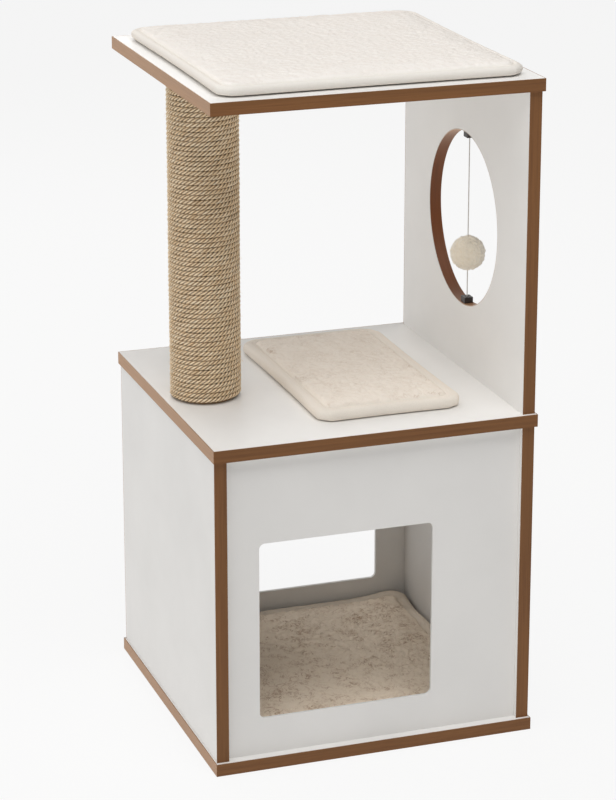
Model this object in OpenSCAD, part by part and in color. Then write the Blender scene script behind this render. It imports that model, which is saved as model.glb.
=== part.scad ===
// Flat-pack cat condo: a cube cave with a doorway and a window, a resting shelf on it,
// and a top board carried by a rope-wound post and a panel with a round porthole.
// A plush ball hangs on a cord across the porthole. Lengths are in millimetres.
// The origin is under the middle of the base, +Z is up and the front faces -Y.

/* [Boards] */
// Width of the base, the middle board and the top board
board_w = 400; // [350:5:480]
// Depth of the base, the middle board and the top board
board_d = 400; // [350:5:480]
// Thickness of the three boards
board_t = 15; // [14:0.5:20]
// Thickness of the side panels
panel_t = 15; // [14:0.5:20]
// Height of the two lower side panels
lower_h = 374; // [320:1:440]
// Height of the upper panel and of the post
upper_h = 388; // [330:1:440]
// How far the boards stand out past the side panels
side_overhang = 2; // [1:0.5:6]
// How far the boards stand out past the panels' front and back edges
front_overhang = 5; // [3:0.5:10]
// Thickness of the brown edging
edging_t = 1; // [0.5:0.1:2]
// Hairline joint between the edging strips at a board's corners
edging_joint = 0.15; // [0.1:0.05:0.4]

/* [Front and back panels] */
// Thickness of the front and the back panel
door_panel_t = 4; // [3:0.5:6]
// How far the front and the back panel lie behind the edges of the side panels
door_set_back = 8; // [5:0.5:14]
// Depth of the grooves that hold the front and the back panel
groove_deep = 5; // [3:0.5:7]
// Width of the doorway
door_w = 216; // [180:2:250]
// Height of the doorway
door_h = 220; // [180:1:240]
// Width of the wall to the left of the doorway
door_left = 41; // [30:1:60]
// Height of the sill below the doorway
door_sill = 45; // [35:1:60]
// Corner radius of the doorway
door_r = 7; // [3:0.5:20]

/* [Porthole] */
// Diameter of the hole cut in the upper panel
porthole_d = 218; // [180:2:230]
// Height of its centre above the middle board
porthole_up = 191; // [175:1:205]
// Thickness of the band that lines the hole
lining_t = 1; // [0.5:0.1:2]

/* [Post] */
// Distance from the left edge of the boards to the axis of the post
post_in = 53; // [50:1:90]
// Diameter of the post over its rope
post_d = 87; // [78:1:96]
// Diameter of the rope
rope_d = 7.4; // [6.5:0.1:8.5]
// Least gap between neighbouring turns of rope
rope_gap = 0.45; // [0.42:0.01:0.8]
// Wall of the cardboard tube
tube_wall = 4; // [2:0.5:6]
// Thickness of the wooden plugs in the ends of the tube
plug_t = 24; // [20:1:40]

/* [Cushions] */
// Thickness of the top and middle cushions at their sewn borders
cushion_edge_t = 12; // [9:0.5:16]
// Thickness of the cave's cushion at its border, which the walls press up
cave_edge_t = 18; // [12:0.5:24]
// How far the middle of a cushion stands above its border
cushion_crown = 4; // [2:0.5:8]
// Corner radius of the cushions
cushion_r = 26; // [18:1:40]
// Width of the smooth border round the plush
cushion_border = 15; // [10:1:22]
// How far the sides of a cushion are drawn in between its corners
cushion_draw = 2.5; // [1:0.5:5]
// Margin of bare board round the top cushion
top_margin = 14; // [8:1:40]
// Width of the cushion on the middle board
mid_cushion_w = 185; // [150:5:205]
// Length of the cushion on the middle board, front to back
mid_cushion_l = 300; // [250:5:330]
// Gap between the cushion on the middle board and the upper panel
mid_cushion_gap = 53; // [20:1:55]
// Margin of bare floor round the cushion in the cave
cave_margin = 3; // [2:1:30]

/* [Hook and loop pads] */
// Side of a pad
pad_w = 30; // [20:1:40]
// Thickness of a pad
pad_t = 0.8; // [0.6:0.1:1.5]
// Distance from the sides of a cushion to its pads
pad_in = 24; // [20:1:50]
// Gap between a hook pad and the loop pad on it
pad_gap = 0.3; // [0.2:0.1:0.6]

/* [Hanging toy] */
// Diameter of the plush ball
ball_d = 44; // [36:1:54]
// Thickness of the ball's plush cover
ball_cover_t = 3; // [2:0.5:3.5]
// How far the ball's centre lies below the centre of the porthole
ball_drop = 45; // [30:1:50]
// Diameter of the toy's cord
cord_d = 1.5; // [1:0.1:1.8]
// Diameter of the knots in the cord
knot_d = 3.6; // [3.4:0.1:4.4]
// How far the toy swings to each side, in degrees
toy_swing = 15; // [5:1:16]
// Width of an anchor across the panel
anchor_w = 11; // [10:0.5:13]
// Length of an anchor along the lining
anchor_l = 12; // [9:0.5:20]
// Thickness of an anchor's roof and of its floor
anchor_wall = 1.75; // [1.5:0.05:2]
// Diameter of the peg that holds an anchor in the panel
peg_d = 5; // [4:0.5:7]
// Length of that peg
peg_l = 10; // [6:1:20]

/* [Fixings] */
// Distance from the panels' edges to their screws and cam bolts
fix_in = 45; // [30:1:60]
// Distance from those to the next dowel
dowel_step = 50; // [30:1:60]
// Shift of the upper panel's fixings, to miss those of the panel below
fix_stagger = 25; // [16:1:30]
// Diameter of the wooden dowels
dowel_d = 8; // [6:0.5:10]
// Depth of a dowel in a board
dowel_in_board = 10; // [6:0.5:11]
// Depth of a dowel in a panel
dowel_in_panel = 20; // [15:1:30]
// Diameter of a screw's shank
screw_d = 6; // [5:0.5:7]
// Length of a screw
screw_l = 50; // [40:1:60]
// Diameter of a screw's head
screw_head_d = 10; // [8:0.5:11]
// Height of a screw's head
screw_head_h = 3; // [2:0.5:4]
// Diameter of a cam lock
cam_d = 15; // [12:0.5:18]
// Depth of a cam lock
cam_deep = 11; // [10.5:0.5:12.5]
// Distance from the edge of a panel to the middle of its cam locks
cam_down = 34; // [24:1:40]
// Diameter of a cam bolt
cam_bolt_d = 6; // [5:0.5:7]
// Depth of a cam bolt in a board
cam_bolt_in = 10; // [8:0.5:11]
// Diameter of the bolts that hold the post
bolt_d = 8; // [6:0.5:10]
// How far those bolts reach into the post
bolt_reach = 16; // [10:1:19]
// Diameter of a bolt's head
bolt_head_d = 14; // [12:0.5:16]
// Height of a bolt's head
bolt_head_h = 4; // [3:0.5:5]
// Diameter of the washers
washer_d = 20; // [18:0.5:24]
// Thickness of the washers
washer_t = 1.6; // [1:0.1:2]
// Diameter of the threaded inserts
insert_d = 11; // [10.5:0.5:14]
// Length of the threaded inserts
insert_l = 18; // [12:1:20]

/* [Hidden] */
$fn = 72;

// Gap round a piece that fits in another, and the overrun of a cut past a face
fit_gap = 0.1;
cut = 1;

// Heights of the faces that the pieces stand on
base_top = board_t;
mid_bottom = base_top + lower_h;
mid_top = mid_bottom + board_t;
top_bottom = mid_top + upper_h;
top_top = top_bottom + board_t;

// Faces of the side panels
panel_out = board_w / 2 - side_overhang;
panel_in = panel_out - panel_t;
panel_mid = panel_out - panel_t / 2;
panel_d = board_d - 2 * front_overhang;

// Front and back panels in their grooves
door_face = panel_d / 2 - door_set_back;
door_panel_w = 2 * (panel_in + groove_deep - fit_gap);
door_panel_h = lower_h + 2 * (groove_deep - fit_gap);

// Rows of fixings, counted from the middle of a panel's depth
fix_y = panel_d / 2 - fix_in;
dowel_y = fix_y - dowel_step;
upper_fix_y = fix_y - fix_stagger;
upper_dowel_y = dowel_y - fix_stagger;
screw_recess = 0.3;
screw_tip = 4;
dowel_chamfer = 0.8;
// How far a cam bolt stops short of the middle of its cam lock
cam_bolt_short = 3;
cam_cross_l = 8;
cam_cross_w = 1.5;

// Post and its rope, wound as two equal lengths of whole loops
post_x = post_in - board_w / 2;
rope_path_r = (post_d - rope_d) / 2;
rope_end_gap = 0.6;
rope_rings = 12;
rope_sides = 6;
// The two lengths of rope meet over this angle, wide enough for their straight ends
rope_end_spread = 1.25;
rope_join = 2 * atan(rope_end_spread * rope_d / rope_path_r);
rope_run = upper_h - 2 * rope_end_gap - rope_d;
rope_loops = floor((rope_run / (rope_d + rope_gap) - rope_join / 360) / 2);
rope_pitch = rope_run / (2 * rope_loops + rope_join / 360);
// The joint of the two lengths lies at the back of the post
rope_start = 90;
tube_gap = 0.3;
tube_r = rope_path_r * cos(180 / rope_rings) - rope_d / 2 * cos(180 / rope_sides) - tube_gap;
plug_r = tube_r - tube_wall - fit_gap;
socket_deep = bolt_head_h / 2;
bolt_socket_d = bolt_head_d / 2;
bolt_sink = washer_t + bolt_head_h + 2 * screw_recess;

// Cushions stand on their hook and loop pads
cushion_up = 2 * pad_t + pad_gap;
top_cushion_w = board_w - 2 * top_margin;
top_cushion_l = board_d - 2 * top_margin;
cave_cushion_w = 2 * (panel_in - cave_margin);
cave_cushion_l = 2 * (door_face - door_panel_t - cave_margin);
mid_cushion_x = panel_in - mid_cushion_gap - mid_cushion_w / 2;
pad_r = 3;
// Seam between border and plush: its depth, the border's roll before it and the plush's rise after it
seam_deep = 2;
seam_roll = 3;
roll_drop = 0.4;
plush_rise = 4;

// Toy in the porthole, hung from its top anchor on the axis of the panel's thickness
toy_x = panel_mid;
porthole_z = mid_top + porthole_up;
lining_r = porthole_d / 2 - lining_t;
ball_z = porthole_z - ball_drop;
ball_core_r = ball_d / 2 - ball_cover_t - fit_gap;
knot_gap = 0.25;
pocket_h = knot_d + 2 * knot_gap;
anchor_h = pocket_h + 2 * anchor_wall;
// The swing's pivot is the knot in the top anchor, and the lower knot mirrors it
knot_off = lining_r - anchor_wall - pocket_h / 2;
cord_start = knot_d / 2 + knot_gap;
cord_top = porthole_z + knot_off - cord_start;
cord_bottom = porthole_z - knot_off + cord_start;
// The stop knot sits in a recess in the underside of the ball
stop_knot_z = ball_z - ball_d / 2 + knot_d / 2 + knot_gap;
stop_recess_d = knot_d + 2 * knot_gap;
stop_recess_h = knot_d + 2 * knot_gap;
cord_hole_d = cord_d + 2 * knot_gap;

white = "#ECEBE7";
brown = "#8A5B3E";
beech = "#D9B98A";
steel = "#B9BABC";
zinc = "#9C9EA0";
cardboard = "#B89468";
sisal = "#C3A677";
plush = "#EADFD2";
tape = "#F2F1EC";
dark_plastic = "#2E2622";
cord_white = "#D8D6D2";

// Basic shapes

module rounded_rect(w, h, r) {
  translate([r, 0]) square([w - 2 * r, h]);
  translate([0, r]) square([w, h - 2 * r]);
  for (x = [r, w - r], y = [r, h - r]) translate([x, y]) circle(r);
}

module board(z) {
  translate([0, 0, z + board_t / 2])
    cube([board_w - 2 * edging_t, board_d - 2 * edging_t, board_t], center = true);
}

// Four strips, the front and back ones running the full width
module board_edging(z) {
  for (side = [-1, 1]) {
    translate([0, side * (board_d - edging_t) / 2, z + board_t / 2])
      cube([board_w, edging_t, board_t], center = true);
    translate([side * (board_w - edging_t) / 2, 0, z + board_t / 2])
      cube([edging_t, board_d - 2 * edging_t - 2 * edging_joint, board_t], center = true);
  }
}

module side_panel(side, z, h) {
  translate([side * panel_mid, 0, z + h / 2])
    cube([panel_t, panel_d - 2 * edging_t, h], center = true);
}

module panel_edging(side, z, h) {
  for (end = [-1, 1])
    translate([side * panel_mid, end * (panel_d - edging_t) / 2, z + h / 2])
      cube([panel_t, edging_t, h], center = true);
}

// Front panel; the back panel is the same piece turned round
module door_panel() {
  difference() {
    translate([0, door_panel_t / 2 - door_face, base_top + lower_h / 2])
      cube([door_panel_w, door_panel_t, door_panel_h], center = true);
    translate([door_left - panel_in, door_panel_t + cut - door_face, base_top + door_sill])
      rotate([90, 0, 0])
        linear_extrude(door_panel_t + 2 * cut) rounded_rect(door_w, door_h, door_r);
  }
}

// Grooves in the boards and side panels for the front and back panels
module door_panel_grooves() {
  for (turn = [0, 180])
    rotate(turn)
      translate([0, door_panel_t / 2 - door_face, base_top + lower_h / 2])
        cube([door_panel_w, door_panel_t, door_panel_h] + 2 * fit_gap * [1, 1, 1], center = true);
}

// Fixings

// Each dowel crosses the face at z, with its panel above it (up 1) or below it (up -1)
dowel_spots = [
  for (y = [-1, 1], side = [-1, 1]) each [
    [side * panel_mid, y * dowel_y, base_top, 1],
    [side * panel_mid, y * dowel_y, mid_bottom, -1]
  ],
  for (y = [-1, 1]) each [
    [panel_mid, y * upper_dowel_y, mid_top, 1],
    [panel_mid, y * dowel_y, top_bottom, -1]
  ]
];

module at_dowels() {
  for (spot = dowel_spots)
    translate([spot[0], spot[1], spot[2]]) rotate([spot[3] > 0 ? 0 : 180, 0, 0]) children();
}

module dowel_holes() {
  at_dowels()
    translate([0, 0, -dowel_in_board - fit_gap])
      cylinder(d = dowel_d + 2 * fit_gap, h = dowel_in_board + dowel_in_panel + 2 * fit_gap);
}

module at_base_screws() {
  for (side = [-1, 1], y = [-1, 1]) translate([side * panel_mid, y * fix_y, 0]) children();
}

module at_upper_screws() {
  for (y = [-1, 1]) translate([panel_mid, y * upper_fix_y, mid_bottom]) children();
}

// Countersunk screw that enters a board's underside at z = 0
module screw() {
  difference() {
    rotate_extrude()
      polygon([
        [0, screw_recess], [screw_head_d / 2, screw_recess],
        [screw_d / 2, screw_recess + screw_head_h], [screw_d / 2, screw_l - screw_tip],
        [screw_d / 6, screw_l], [0, screw_l]
      ]);
    cylinder(d = screw_head_d / 2, h = screw_recess + screw_head_h * 0.8, $fn = 6);
  }
}

module screw_hole() {
  rotate_extrude()
    polygon([
      [0, -cut], [screw_head_d / 2 + fit_gap, -cut], [screw_head_d / 2 + fit_gap, screw_recess],
      [screw_d / 2 + fit_gap, screw_recess + screw_head_h], [screw_d / 2 + fit_gap, screw_l + fit_gap],
      [0, screw_l + fit_gap]
    ]);
}

// Cam bolts stand in a board's underside, each with a cam lock in the panel below:
// x, y, height of the board's underside, x of the cam's face and the way that face looks
cam_spots = [
  for (y = [-1, 1]) each [
    [-panel_mid, y * fix_y, mid_bottom, -panel_in, 1],
    [panel_mid, y * fix_y, mid_bottom, panel_in, -1],
    [panel_mid, y * fix_y, top_bottom, panel_out, 1]
  ]
];

module cam_bolt(spot, gap) {
  translate([spot[0], spot[1], spot[2] - cam_down + cam_bolt_short - gap])
    cylinder(d = cam_bolt_d + 2 * gap, h = cam_down - cam_bolt_short + cam_bolt_in + 2 * gap);
}

module cam_disc(spot, gap, proud) {
  translate([spot[3] + spot[4] * proud, spot[1], spot[2] - cam_down])
    rotate([0, -90 * spot[4], 0])
      cylinder(d = cam_d + 2 * gap, h = cam_deep + proud + gap);
}

module cam_holes() {
  for (spot = cam_spots) {
    cam_bolt(spot, fit_gap);
    cam_disc(spot, fit_gap, cut);
  }
}

// Holes for the bolts that hold the post, with the upper bolt sunk under the top cushion
module post_bolt_holes() {
  translate([post_x, 0, mid_bottom - cut]) cylinder(d = bolt_d + 2 * fit_gap, h = board_t + 2 * cut);
  translate([post_x, 0, top_bottom - cut]) cylinder(d = bolt_d + 2 * fit_gap, h = board_t + 2 * cut);
  translate([post_x, 0, top_top - bolt_sink])
    cylinder(d = washer_d + 2 * fit_gap, h = bolt_sink + cut);
}

// Boards and panels

module base_board() {
  color(white) difference() {
    board(0);
    door_panel_grooves();
    dowel_holes();
    at_base_screws() screw_hole();
  }
}

module base_edging() {
  color(brown) board_edging(0);
}

module lower_panel(side) {
  difference() {
    side_panel(side, base_top, lower_h);
    door_panel_grooves();
    dowel_holes();
    at_base_screws() screw_hole();
    cam_holes();
  }
}

module left_panel() {
  color(white) lower_panel(-1);
}

module left_panel_edging() {
  color(brown) panel_edging(-1, base_top, lower_h);
}

module right_panel() {
  color(white) lower_panel(1);
}

module right_panel_edging() {
  color(brown) panel_edging(1, base_top, lower_h);
}

module front_panel() {
  color(white) door_panel();
}

module back_panel() {
  color(white) rotate(180) door_panel();
}

module mid_board() {
  color(white) difference() {
    board(mid_bottom);
    door_panel_grooves();
    dowel_holes();
    at_upper_screws() screw_hole();
    cam_holes();
    post_bolt_holes();
  }
}

module mid_edging() {
  color(brown) board_edging(mid_bottom);
}

module upper_panel() {
  color(white) difference() {
    side_panel(1, mid_top, upper_h);
    translate([panel_in - cut, 0, porthole_z])
      rotate([0, 90, 0]) cylinder(d = porthole_d, h = panel_t + 2 * cut);
    dowel_holes();
    at_upper_screws() screw_hole();
    cam_holes();
    at_anchors() peg(fit_gap);
  }
}

module upper_panel_edging() {
  color(brown) panel_edging(1, mid_top, upper_h);
}

module porthole_lining() {
  color(brown) difference() {
    translate([panel_in, 0, porthole_z])
      rotate([0, 90, 0]) cylinder(d = porthole_d, h = panel_t);
    translate([panel_in - cut, 0, porthole_z])
      rotate([0, 90, 0]) cylinder(r = lining_r, h = panel_t + 2 * cut);
    at_anchors() peg(fit_gap);
  }
}

module top_board() {
  color(white) difference() {
    board(top_bottom);
    dowel_holes();
    cam_holes();
    post_bolt_holes();
  }
}

module top_edging() {
  color(brown) board_edging(top_bottom);
}

// Hardware

module base_screws() {
  color(steel) at_base_screws() screw();
}

module upper_panel_screws() {
  color(steel) at_upper_screws() screw();
}

module wood_dowels() {
  length = dowel_in_board + dowel_in_panel;
  color(beech) at_dowels()
    translate([0, 0, -dowel_in_board])
      rotate_extrude()
        polygon([
          [0, 0], [dowel_d / 2 - dowel_chamfer, 0], [dowel_d / 2, dowel_chamfer],
          [dowel_d / 2, length - dowel_chamfer], [dowel_d / 2 - dowel_chamfer, length], [0, length]
        ]);
}

module cam_bolts() {
  color(steel) for (spot = cam_spots) cam_bolt(spot, 0);
}

module cam_locks() {
  color(zinc) for (spot = cam_spots)
    difference() {
      cam_disc(spot, 0, 0);
      cam_bolt(spot, fit_gap);
      for (turn = [0, 90])
        translate([spot[3], spot[1], spot[2] - cam_down])
          rotate([turn, 0, 0]) cube([2 * cam_cross_w, cam_cross_l, cam_cross_w], center = true);
    }
}

// Post

module post_tube() {
  color(cardboard) translate([post_x, 0, mid_top]) difference() {
    cylinder(r = tube_r, h = upper_h);
    translate([0, 0, -cut]) cylinder(r = tube_r - tube_wall, h = upper_h + 2 * cut);
  }
}

// Places a piece made for the lower end of the post at both of its ends
module at_post_ends() {
  translate([post_x, 0, mid_top]) children();
  translate([post_x, 0, top_bottom]) rotate([180, 0, 0]) children();
}

module post_plugs() {
  color(beech) at_post_ends() difference() {
    cylinder(r = plug_r, h = plug_t);
    translate([0, 0, -cut]) cylinder(d = insert_d + 2 * fit_gap, h = plug_t + 2 * cut);
  }
}

module post_inserts() {
  color(zinc) at_post_ends() difference() {
    cylinder(d = insert_d, h = insert_l);
    translate([0, 0, -cut]) cylinder(d = bolt_d + 2 * fit_gap, h = insert_l + 2 * cut);
  }
}

// Bolt whose head bears on a washer at z = 0, with a hexagon socket in the head
module post_bolt(grip) {
  difference() {
    union() {
      cylinder(d = bolt_d, h = washer_t + grip + bolt_reach);
      translate([0, 0, -bolt_head_h]) cylinder(d = bolt_head_d, h = bolt_head_h);
    }
    translate([0, 0, -bolt_head_h - cut]) cylinder(d = bolt_socket_d, h = socket_deep + cut, $fn = 6);
  }
}

module washer() {
  difference() {
    cylinder(d = washer_d, h = washer_t);
    translate([0, 0, -cut]) cylinder(d = bolt_d + 2 * fit_gap, h = washer_t + 2 * cut);
  }
}

module post_bolts() {
  color(steel) {
    translate([post_x, 0, mid_bottom - washer_t]) post_bolt(board_t);
    translate([post_x, 0, top_top - bolt_sink + washer_t])
      rotate([180, 0, 0]) post_bolt(board_t - bolt_sink);
  }
}

module post_washers() {
  color(steel) {
    translate([post_x, 0, mid_bottom - washer_t]) washer();
    translate([post_x, 0, top_top - bolt_sink]) washer();
  }
}

// One length of rope: rings of points along a helix, with a straight run at each end

function rope_ring(angle, z, along) =
  let (
    slope = rope_pitch / (2 * PI * rope_path_r),
    radial = [cos(angle), sin(angle), 0],
    middle = rope_path_r * radial + [0, 0, z] + along * [-sin(angle), cos(angle), slope]
  )
  [
    for (side = [0 : rope_sides - 1])
      let (t = (side + 0.5) * 360 / rope_sides)
      middle + rope_d / 2 * (cos(t) * radial + [0, 0, sin(t)])
  ];

function rope_winding(angle, z) =
  let (
    steps = rope_loops * rope_rings,
    last_angle = angle + 360 * rope_loops,
    last_z = z + rope_loops * rope_pitch
  )
  [
    rope_ring(angle, z, -rope_d),
    for (i = [0 : steps]) rope_ring(angle + i * 360 / rope_rings, z + i * rope_pitch / rope_rings, 0),
    rope_ring(last_angle, last_z, rope_d)
  ];

// Least distance from the points of each ring to those of the rings one loop further on
function winding_gap(rings) =
  min([
    for (i = [0 : len(rings) - 1], step = [rope_rings - 1 : rope_rings + 1])
      if (i + step < len(rings))
        for (a = rings[i], b = rings[i + step]) norm(a - b)
  ]);

module tube_of_rings(rings) {
  n = len(rings[0]);
  last = (len(rings) - 1) * n;
  points = [for (ring = rings) each ring];
  walls = [
    for (i = [0 : len(rings) - 2], k = [0 : n - 1])
      let (a = i * n + k, b = i * n + (k + 1) % n)
      each [[a, b, b + n], [a, b + n, a + n]]
  ];
  caps = [for (k = [1 : n - 2]) each [[0, k + 1, k], [last, last + k, last + k + 1]]];
  polyhedron(points, concat(walls, caps));
}

lower_winding = rope_winding(rope_start, rope_end_gap + rope_d / 2);
upper_winding = rope_winding(
  rope_start + rope_join, rope_end_gap + rope_d / 2 + (rope_loops + rope_join / 360) * rope_pitch
);
echo(rope_loops = rope_loops, lower_rope_gap = winding_gap(lower_winding));  // post_rope_lower
echo(rope_loops = rope_loops, upper_rope_gap = winding_gap(upper_winding));  // post_rope_upper

module post_rope_lower() {
  color(sisal) translate([post_x, 0, mid_top]) tube_of_rings(lower_winding);
}

module post_rope_upper() {
  color(sisal) translate([post_x, 0, mid_top]) tube_of_rings(upper_winding);
}

// Cushions

// Rounded outline with its sides drawn in, set in from the cushion's own outline
corner_steps = 4;
side_steps = 4;
corner_least_r = 4;

function cushion_outline(w, l, inset) =
  let (
    r = max(cushion_r - inset, corner_least_r),
    cx = w / 2 - inset - r,
    cy = l / 2 - inset - r,
    draw = cushion_draw * max(0, 1 - inset / cushion_r),
    corners = [[cx, cy], [-cx, cy], [-cx, -cy], [cx, -cy]]
  )
  [
    for (q = [0 : 3])
      let (
        from = corners[q] + r * [cos(90 * q + 90), sin(90 * q + 90)],
        to = corners[(q + 1) % 4] + r * [cos(90 * q + 90), sin(90 * q + 90)],
        inward = -[cos(90 * q + 90), sin(90 * q + 90)]
      )
      each concat(
        [
          for (i = [0 : corner_steps])
            let (a = 90 * (q + i / corner_steps))
            corners[q] + r * [cos(a), sin(a)]
        ],
        [
          for (i = [1 : side_steps - 1])
            let (f = i / side_steps)
            from + f * (to - from) + 4 * f * (1 - f) * draw * inward
        ]
      )
  ];

// Inset and height of each ring, from the flat underside over the border and seam to the crown
function cushion_profile(w, l, edge) =
  let (
    seam = cushion_border,
    reach = min(w, l) / 2
  )
  [
    [edge / 3, 0], [edge / 8, edge / 6], [0, edge / 2], [edge / 8, edge * 0.83], [edge / 3, edge],
    [seam - seam_roll, edge - roll_drop], [seam, edge - seam_deep],
    [seam + plush_rise, edge + cushion_crown * 0.25],
    [seam + 0.22 * reach, edge + cushion_crown * 0.7], [seam + 0.5 * reach, edge + cushion_crown * 0.94]
  ];

module cushion(w, l, edge) {
  profile = cushion_profile(w, l, edge);
  rings = [for (p = profile) [for (q = cushion_outline(w, l, p[0])) [q[0], q[1], p[1]]]];
  n = len(rings[0]);
  last = (len(rings) - 1) * n;
  under = len(rings) * n;
  crown = under + 1;
  points = concat([for (ring = rings) each ring], [[0, 0, 0], [0, 0, edge + cushion_crown]]);
  walls = [
    for (i = [0 : len(rings) - 2], k = [0 : n - 1])
      let (a = i * n + k, b = i * n + (k + 1) % n)
      each [[a, a + n, b + n], [a, b + n, b]]
  ];
  caps = [
    for (k = [0 : n - 1])
      let (next = (k + 1) % n)
      each [[under, k, next], [crown, last + next, last + k]]
  ];
  polyhedron(points, concat(walls, caps));
}

module top_cushion() {
  color(plush) translate([0, 0, top_top + cushion_up])
    cushion(top_cushion_w, top_cushion_l, cushion_edge_t);
}

module mid_cushion() {
  color(plush) translate([mid_cushion_x, 0, mid_top + cushion_up])
    cushion(mid_cushion_w, mid_cushion_l, cushion_edge_t);
}

module cave_cushion() {
  color(plush) translate([0, 0, base_top + cushion_up])
    cushion(cave_cushion_w, cave_cushion_l, cave_edge_t);
}

// Four pads near the corners of a cushion
module pads(w, l) {
  for (x = [-1, 1], y = [-1, 1])
    translate([x * (w / 2 - pad_in - pad_w / 2), y * (l / 2 - pad_in - pad_w / 2), 0])
      translate([-pad_w / 2, -pad_w / 2, 0])
        linear_extrude(pad_t) rounded_rect(pad_w, pad_w, pad_r);
}

module top_hook_pads() {
  color(tape) translate([0, 0, top_top]) pads(top_cushion_w, top_cushion_l);
}

module mid_hook_pads() {
  color(tape) translate([mid_cushion_x, 0, mid_top]) pads(mid_cushion_w, mid_cushion_l);
}

module cave_hook_pads() {
  color(tape) translate([0, 0, base_top]) pads(cave_cushion_w, cave_cushion_l);
}

module top_loop_pads() {
  color(tape) translate([0, 0, top_top + pad_t + pad_gap]) pads(top_cushion_w, top_cushion_l);
}

module mid_loop_pads() {
  color(tape)
    translate([mid_cushion_x, 0, mid_top + pad_t + pad_gap]) pads(mid_cushion_w, mid_cushion_l);
}

module cave_loop_pads() {
  color(tape) translate([0, 0, base_top + pad_t + pad_gap]) pads(cave_cushion_w, cave_cushion_l);
}

// Hanging toy

// Places a piece made for the top anchor at the top and the bottom of the porthole
module at_anchors() {
  for (turn = [0, 180]) translate([toy_x, 0, porthole_z]) rotate([turn, 0, 0]) children();
}

module peg(gap) {
  translate([0, 0, lining_r - anchor_wall / 2])
    cylinder(d = peg_d + 2 * gap, h = anchor_wall / 2 + lining_t + peg_l + gap);
}

// Room for the swinging cord at a distance below the middle of the knot
function cord_room(down) = cord_d / 2 / cos(toy_swing) + down * tan(toy_swing) + knot_gap;

// Block on the lining with a peg in the panel. The knot slides into its pocket from the outer
// side, and the cord leaves through a flared eye in the floor.
module anchor() {
  floor_top = pocket_h / 2;
  floor_bottom = pocket_h / 2 + anchor_wall;
  difference() {
    union() {
      intersection() {
        translate([-anchor_w / 2, -anchor_l / 2, lining_r - anchor_h])
          cube([anchor_w, anchor_l, anchor_h]);
        translate([-anchor_w, 0, 0])
          rotate([0, 90, 0]) cylinder(r = lining_r - fit_gap / 2, h = 2 * anchor_w);
      }
      peg(0);
    }
    translate([0, 0, knot_off]) {
      translate([0, 0, -pocket_h / 2]) cylinder(d = pocket_h, h = pocket_h);
      translate([0, -pocket_h / 2, -pocket_h / 2]) cube([anchor_w, pocket_h, pocket_h]);
      translate([0, 0, -floor_bottom - fit_gap])
        cylinder(
          r1 = cord_room(floor_bottom + fit_gap), r2 = cord_room(floor_top - fit_gap),
          h = anchor_wall + 2 * fit_gap
        );
      translate([0, -cord_hole_d / 2, -floor_bottom - cut])
        cube([anchor_w, cord_hole_d, anchor_wall + 2 * cut]);
    }
  }
}

module toy_anchor_top() {
  color(dark_plastic) translate([toy_x, 0, porthole_z]) anchor();
}

module toy_anchor_bottom() {
  color(dark_plastic) translate([toy_x, 0, porthole_z]) rotate([180, 0, 0]) anchor();
}

module cord_end_knots() {
  color(cord_white) for (end = [-1, 1])
    translate([toy_x, 0, porthole_z + end * knot_off]) sphere(d = knot_d);
}

// The upper cord runs through the ball down to its stop knot
module toy_cord_upper() {
  bottom = stop_knot_z + knot_d / 2 + knot_gap / 2;
  color(cord_white) translate([toy_x, 0, bottom]) cylinder(d = cord_d, h = cord_top - bottom);
}

module toy_cord_lower() {
  top = stop_knot_z - knot_d / 2 - knot_gap / 2;
  color(cord_white) translate([toy_x, 0, cord_bottom]) cylinder(d = cord_d, h = top - cord_bottom);
}

module toy_stop_knot() {
  color(cord_white) translate([toy_x, 0, stop_knot_z]) sphere(d = knot_d);
}

// Way through the ball for the cord, with the recess for the stop knot
module ball_bore() {
  translate([0, 0, -ball_d]) cylinder(d = cord_hole_d, h = 2 * ball_d);
  translate([0, 0, -ball_d]) cylinder(d = stop_recess_d, h = ball_d / 2 + stop_recess_h);
}

module toy_ball_core() {
  color(plush) translate([toy_x, 0, ball_z]) difference() {
    sphere(r = ball_core_r);
    ball_bore();
  }
}

module toy_ball_cover() {
  color(plush) translate([toy_x, 0, ball_z]) difference() {
    sphere(d = ball_d);
    sphere(d = ball_d - 2 * ball_cover_t);
    ball_bore();
  }
}

base_board();
base_edging();
left_panel();
left_panel_edging();
right_panel();
right_panel_edging();
front_panel();
back_panel();
mid_board();
mid_edging();
upper_panel();
upper_panel_edging();
porthole_lining();
top_board();
top_edging();
base_screws();
upper_panel_screws();
wood_dowels();
cam_bolts();
cam_locks();
post_tube();
post_plugs();
post_inserts();
post_bolts();
post_washers();
post_rope_lower();
post_rope_upper();
top_cushion();
mid_cushion();
cave_cushion();
top_hook_pads();
mid_hook_pads();
cave_hook_pads();
top_loop_pads();
mid_loop_pads();
cave_loop_pads();
toy_anchor_top();
toy_anchor_bottom();
cord_end_knots();
toy_cord_upper();
toy_cord_lower();
toy_stop_knot();
toy_ball_core();
toy_ball_cover();
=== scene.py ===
"""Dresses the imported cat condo: its finishes, wound post, cushions, hanging toy and studio stage."""
import math

import bpy
import numpy as np
from bpy.props import FloatProperty, FloatVectorProperty, IntProperty, PointerProperty
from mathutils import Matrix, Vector, noise


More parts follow.
